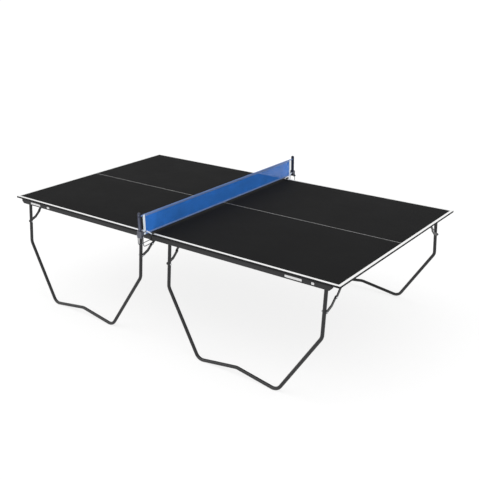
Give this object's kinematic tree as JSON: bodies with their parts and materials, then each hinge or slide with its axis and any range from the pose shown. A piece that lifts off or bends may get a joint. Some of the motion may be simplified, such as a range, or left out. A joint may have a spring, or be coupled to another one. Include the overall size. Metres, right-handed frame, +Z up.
{
  "type": "table tennis table",
  "caption": "Indoor table tennis table in two halves on folding bent-tube leg frames, with a spring-clamped net.",
  "frame": {"origin": "on the floor, under the middle of the net", "axes": "+X along the table's length, +Y across its width, +Z up"},
  "size_m": [2.74, 1.724, 0.923],
  "materials": {
    "board_paint": "matt charcoal paint on a pressed wood board, with a fine roller texture",
    "band_black": "matt black plastic strip",
    "rail_paint": "satin dark grey paint on a pine rail",
    "tube_black": "gloss black powder coat",
    "bracket_black": "satin black powder coat",
    "spring_steel": "dark oiled spring wire",
    "zinc": "bright zinc plating",
    "net_mesh": "knotless blue nylon mesh",
    "net_tape": "greyish blue woven cotton tape",
    "end_tape": "white woven cotton tape",
    "post_plastic": "moulded navy plastic",
    "clamp_metal": "dark slate enamel",
    "boot_rubber": "soft black rubber"
  },
  "bodies": {
    "left_half": {"left_board": "board_paint", "left_edge_band": "band_black", "left_wood_screws": "zinc", "left_near_rail": "rail_paint", "left_near_hinge_brackets": "bracket_black", "left_near_pivot_bolts": "zinc", "left_near_stay_brackets": "bracket_black", "left_near_stay_pins": "zinc", "left_far_rail": "rail_paint", "left_far_hinge_brackets": "bracket_black", "left_far_pivot_bolts": "zinc", "left_far_stay_brackets": "bracket_black", "left_far_stay_pins": "zinc", "net_fabric": "net_mesh", "net_long_tapes": "net_tape", "net_end_tapes": "end_tape", "near_net_post": "post_plastic", "far_net_post": "post_plastic", "near_clamp_frame": "clamp_metal", "far_clamp_frame": "clamp_metal", "clamp_jaw_boots": "boot_rubber", "clamp_pivot_pins": "zinc", "clamp_springs": "spring_steel"},
    "right_half": {"right_board": "board_paint", "right_edge_band": "band_black", "right_wood_screws": "zinc", "right_near_rail": "rail_paint", "right_near_hinge_brackets": "bracket_black", "right_near_pivot_bolts": "zinc", "right_near_stay_brackets": "bracket_black", "right_near_stay_pins": "zinc", "right_far_rail": "rail_paint", "right_far_hinge_brackets": "bracket_black", "right_far_pivot_bolts": "zinc", "right_far_stay_brackets": "bracket_black", "right_far_stay_pins": "zinc"},
    "right_near_leg": {"right_near_leg_frame": "tube_black", "right_near_stay_leg_bolts": "zinc"},
    "right_near_stay_lower": {"right_near_stay_lower_links": "bracket_black"},
    "right_near_stay_upper": {"right_near_stay_upper_links": "bracket_black", "right_near_stay_knee_rivets": "zinc"},
    "right_far_leg": {"right_far_leg_frame": "tube_black", "right_far_stay_leg_bolts": "zinc"},
    "right_far_stay_lower": {"right_far_stay_lower_links": "bracket_black"},
    "right_far_stay_upper": {"right_far_stay_upper_links": "bracket_black", "right_far_stay_knee_rivets": "zinc"},
    "left_near_leg": {"left_near_leg_frame": "tube_black", "left_near_stay_leg_bolts": "zinc"},
    "left_near_stay_lower": {"left_near_stay_lower_links": "bracket_black"},
    "left_near_stay_upper": {"left_near_stay_upper_links": "bracket_black", "left_near_stay_knee_rivets": "zinc"},
    "left_far_leg": {"left_far_leg_frame": "tube_black", "left_far_stay_leg_bolts": "zinc"},
    "left_far_stay_lower": {"left_far_stay_lower_links": "bracket_black"},
    "left_far_stay_upper": {"left_far_stay_upper_links": "bracket_black", "left_far_stay_knee_rivets": "zinc"},
    "near_clamp_lever": {"near_clamp_lever": "spring_steel", "near_lever_sleeve": "boot_rubber"},
    "far_clamp_lever": {"far_clamp_lever": "spring_steel", "far_lever_sleeve": "boot_rubber"}
  },
  "joints": [
    {"name": "halves_apart", "type": "slide", "parent": "left_half", "child": "right_half", "axis": [1, 0, 0], "range_m": [0, 0.3]},
    {"name": "right_near_leg_fold", "type": "hinge", "parent": "right_half", "child": "right_near_leg", "pos_m": [0.696, -0.724, 0.716], "axis": [1, 0, 0], "range_deg": [0, 95.75]},
    {"name": "right_near_stay_lower_turn", "type": "hinge", "parent": "right_near_leg", "child": "right_near_stay_lower", "pos_m": [0.696, -0.73823, 0.57471], "axis": [1, 0, 0], "range_deg": [0, 43.43]},
    {"name": "right_near_stay_upper_turn", "type": "hinge", "parent": "right_half", "child": "right_near_stay_upper", "pos_m": [0.696, -0.543, 0.735], "axis": [1, 0, 0], "range_deg": [-45.23, 0]},
    {"name": "right_far_leg_fold", "type": "hinge", "parent": "right_half", "child": "right_far_leg", "pos_m": [0.696, 0.724, 0.716], "axis": [-1, 0, 0], "range_deg": [0, 95.75]},
    {"name": "right_far_stay_lower_turn", "type": "hinge", "parent": "right_far_leg", "child": "right_far_stay_lower", "pos_m": [0.696, 0.73823, 0.57471], "axis": [-1, 0, 0], "range_deg": [0, 43.43]},
    {"name": "right_far_stay_upper_turn", "type": "hinge", "parent": "right_half", "child": "right_far_stay_upper", "pos_m": [0.696, 0.543, 0.735], "axis": [-1, 0, 0], "range_deg": [-45.23, 0]},
    {"name": "left_near_leg_fold", "type": "hinge", "parent": "left_half", "child": "left_near_leg", "pos_m": [-0.696, -0.724, 0.716], "axis": [1, 0, 0], "range_deg": [0, 95.75]},
    {"name": "left_near_stay_lower_turn", "type": "hinge", "parent": "left_near_leg", "child": "left_near_stay_lower", "pos_m": [-0.696, -0.73823, 0.57471], "axis": [1, 0, 0], "range_deg": [0, 43.43]},
    {"name": "left_near_stay_upper_turn", "type": "hinge", "parent": "left_half", "child": "left_near_stay_upper", "pos_m": [-0.696, -0.543, 0.735], "axis": [1, 0, 0], "range_deg": [-45.23, 0]},
    {"name": "left_far_leg_fold", "type": "hinge", "parent": "left_half", "child": "left_far_leg", "pos_m": [-0.696, 0.724, 0.716], "axis": [-1, 0, 0], "range_deg": [0, 95.75]},
    {"name": "left_far_stay_lower_turn", "type": "hinge", "parent": "left_far_leg", "child": "left_far_stay_lower", "pos_m": [-0.696, 0.73823, 0.57471], "axis": [-1, 0, 0], "range_deg": [0, 43.43]},
    {"name": "left_far_stay_upper_turn", "type": "hinge", "parent": "left_half", "child": "left_far_stay_upper", "pos_m": [-0.696, 0.543, 0.735], "axis": [-1, 0, 0], "range_deg": [-45.23, 0]},
    {"name": "near_clamp_lever_swing", "type": "hinge", "parent": "left_half", "child": "near_clamp_lever", "pos_m": [0, -0.852, 0.767], "axis": [-1, 0, 0], "range_deg": [0, 35], "stiffness_Nm_per_rad": 0.5, "springref_deg": -28.65},
    {"name": "far_clamp_lever_swing", "type": "hinge", "parent": "left_half", "child": "far_clamp_lever", "pos_m": [0, 0.852, 0.767], "axis": [1, 0, 0], "range_deg": [0, 35], "stiffness_Nm_per_rad": 0.5, "springref_deg": -28.65}
  ],
  "couplings": [
    {"joint": "right_near_stay_lower_turn", "follows": "right_near_leg_fold", "ratio": 0.45338},
    {"joint": "right_near_stay_upper_turn", "follows": "right_near_leg_fold", "ratio": -0.47218},
    {"joint": "right_far_stay_lower_turn", "follows": "right_far_leg_fold", "ratio": 0.45338},
    {"joint": "right_far_stay_upper_turn", "follows": "right_far_leg_fold", "ratio": -0.47218},
    {"joint": "left_near_stay_lower_turn", "follows": "left_near_leg_fold", "ratio": 0.45338},
    {"joint": "left_near_stay_upper_turn", "follows": "left_near_leg_fold", "ratio": -0.47218},
    {"joint": "left_far_stay_lower_turn", "follows": "left_far_leg_fold", "ratio": 0.45338},
    {"joint": "left_far_stay_upper_turn", "follows": "left_far_leg_fold", "ratio": -0.47218}
  ]
}
